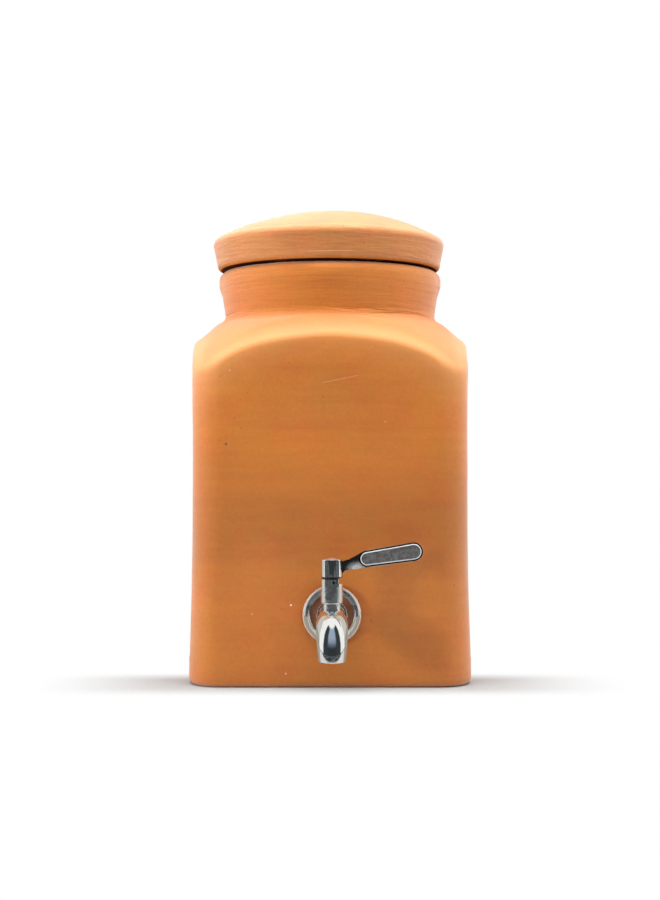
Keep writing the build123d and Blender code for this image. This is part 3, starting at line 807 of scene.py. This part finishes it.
# The studio
# A white sweep under soft boxes, which shows its own shadow only close to the jar. Polished
# metal mirrors four glowing cards at the tap and a dim room behind the camera.

UPRIGHT = (math.pi / 2, 0, 0)
FLOOR_SIZE = 12.0
AMBIENT = 0.24


def kinds_of_ray(wire):
    """Ray kinds as wires: seen by the camera, seen in a mirror, lighting a matt surface."""
    outputs = wire.node("LightPath").socket.node.outputs
    return [Wire(wire.tree, outputs[f"Is {kind} Ray"]) for kind in ("Camera", "Glossy", "Diffuse")]


pick()
bpy.ops.mesh.primitive_plane_add(size=FLOOR_SIZE)
floor = bpy.context.object
floor.name = "floor"
floor_white, floor_shader, wire = new_finish("floor_white")
place, (x, y, z) = places(wire)
shadow_zone = abs(y + 84 * MM).step(52 * MM, 14 * MM) * abs(x).step(215 * MM, 95 * MM)
floor_shader.inputs["Roughness"].default_value = 0.9
floor_shader.inputs["Specular IOR Level"].default_value = 0.1
seen, mirrored, bounced = kinds_of_ray(wire)
join(wire, floor_shader, bounced.mix((0.38, 0.38, 0.38), (0.5, 0.5, 0.5)))
glow = wire.node("Emission", values={"Color": (1.0, 1.0, 1.0), "Strength": 1.0})
blotch = noise(wire, place, 7.0, 3.0, 0.6).step(0.38, 0.62) * y.step(-1.02, -0.92)
dim_tone = blotch.mix((0.036, 0.04, 0.042), (0.15, 0.165, 0.17))
dim = wire.node("Emission", values={"Color": dim_tone, "Strength": 1.0})
paper = Wire(wire.tree, floor_shader.outputs[0])
lit_floor = wire.node("MixShader", values={0: (1 - shadow_zone) * seen, 1: paper, 2: glow})
in_front = y.step(-0.19, -0.25)
mixed = wire.node("MixShader", values={0: in_front * mirrored, 1: lit_floor, 2: dim})
wire.tree.links.new(mixed.socket, wire.tree.nodes["Material Output"].inputs["Surface"])
floor.data.materials.append(floor_white)

room = bpy.data.worlds.new("room")
bpy.context.scene.world = room
room.use_nodes = True
wire = Wire(room.node_tree)
to_x, to_y, to_z = parts_of(wire, wire.node("TexCoord", out="Generated"))
flat = wire.node("CombineXYZ", values={0: to_x, 1: to_y})
level = wire.node("VectorMath", {"operation": "NORMALIZE"}, {0: flat})
front_side = parts_of(wire, level)[1]
dark_room = front_side.step(-0.2, -0.32) * to_z.step(0.97, 0.92)
seen, mirrored = kinds_of_ray(wire)[:2]
dusk = to_z.step(0.28, 0.75).mix((0.034, 0.042, 0.046), (0.34, 0.42, 0.54))
dusk = front_side.step(-0.72, -0.88).mix((0.04, 0.05, 0.055), dusk)
mirrored_colour = dark_room.mix((1.0, 1.0, 0.98), dusk)
colour = mirrored.mix((1.0, 1.0, 1.0), mirrored_colour)
strength = 1 - (1 - AMBIENT) * (1 - mirrored) * (1 - seen)
backdrop = room.node_tree.nodes["Background"]
wire.tree.links.new(colour.socket, backdrop.inputs["Color"])
wire.tree.links.new(strength.socket, backdrop.inputs["Strength"])

CARD_OUTER = 75 * MM
CARD_PLANE = -113 * MM
CARD_SEAM = tap_axis.z - 2 * MM
# Each pair of cards: inner edge, low and high edge, and glow
cards = (
    ("low", 12 * MM, 4 * MM, CARD_SEAM, (0.36, 0.34, 0.28)),
    ("high", 23 * MM, CARD_SEAM, 96 * MM, (0.62, 0.6, 0.54)),
)
for side in (-1, 1):
    for label, inner, low, high, tone in cards:
        card_white, card_shader, wire = new_finish(f"card_{label}_{side}")
        card_shader.inputs["Base Color"].default_value = (0.0, 0.0, 0.0, 1.0)
        card_shader.inputs["Emission Color"].default_value = (*tone, 1.0)
        card_shader.inputs["Emission Strength"].default_value = 1.0
        pick()
        across = (inner + CARD_OUTER) / 2 * side + tap_axis.x
        middle = (across, CARD_PLANE, (low + high) / 2)
        bpy.ops.mesh.primitive_plane_add(size=1.0, location=middle, rotation=UPRIGHT)
        card = bpy.context.object
        card.name = f"card_{label}_{side}"
        card.scale = (CARD_OUTER - inner, high - low, 1.0)
        card.data.materials.append(card_white)
        card.visible_camera = False
        card.visible_diffuse = False
        card.visible_shadow = False

# Each soft box: name, place, what it faces, width and height, and watts
soft_boxes = (
    ("top_box", (0.0, -0.16, 1.0), (0.0, -0.06, 0.2), (1.1, 0.7), 19.6),
    ("key_box", (-1.1, -0.76, 0.19), (0.0, -0.1, 0.06), (0.16, 0.16), 7.4),
    ("fill_box", (1.3, -1.2, 0.9), (0.0, 0.0, 0.16), (0.9, 0.9), 0.8),
    ("left_box", (-1.1, -0.12, 0.5), (0.0, 0.0, 0.2), (0.5, 0.9), 4.4),
    ("right_box", (1.1, -0.12, 0.5), (0.0, 0.0, 0.2), (0.5, 0.9), 7.0),
)
for name, spot, aim, size, power in soft_boxes:
    pick()
    bpy.ops.object.light_add(type="AREA", location=spot)
    box = bpy.context.object
    box.name = name
    box.data.shape = "RECTANGLE"
    box.data.size, box.data.size_y = size
    box.data.energy = power
    box.visible_glossy = False
    line = Vector(aim) - Vector(spot)
    box.rotation_euler = line.to_track_quat("-Z", "Y").to_euler()

CAMERA_AWAY = 1.0883
CAMERA_HEIGHT = 0.1677
IMAGE_ROWS = 900
ROWS_DOWN = 5
pick()
bpy.ops.object.camera_add(location=(0.0, -CAMERA_AWAY, CAMERA_HEIGHT), rotation=UPRIGHT)
camera = bpy.context.object
camera.data.lens = 57.28
camera.data.sensor_width = 36.0
camera.data.shift_y = -ROWS_DOWN / IMAGE_ROWS
bpy.context.scene.camera = camera
bpy.context.scene.view_settings.view_transform = "Standard"
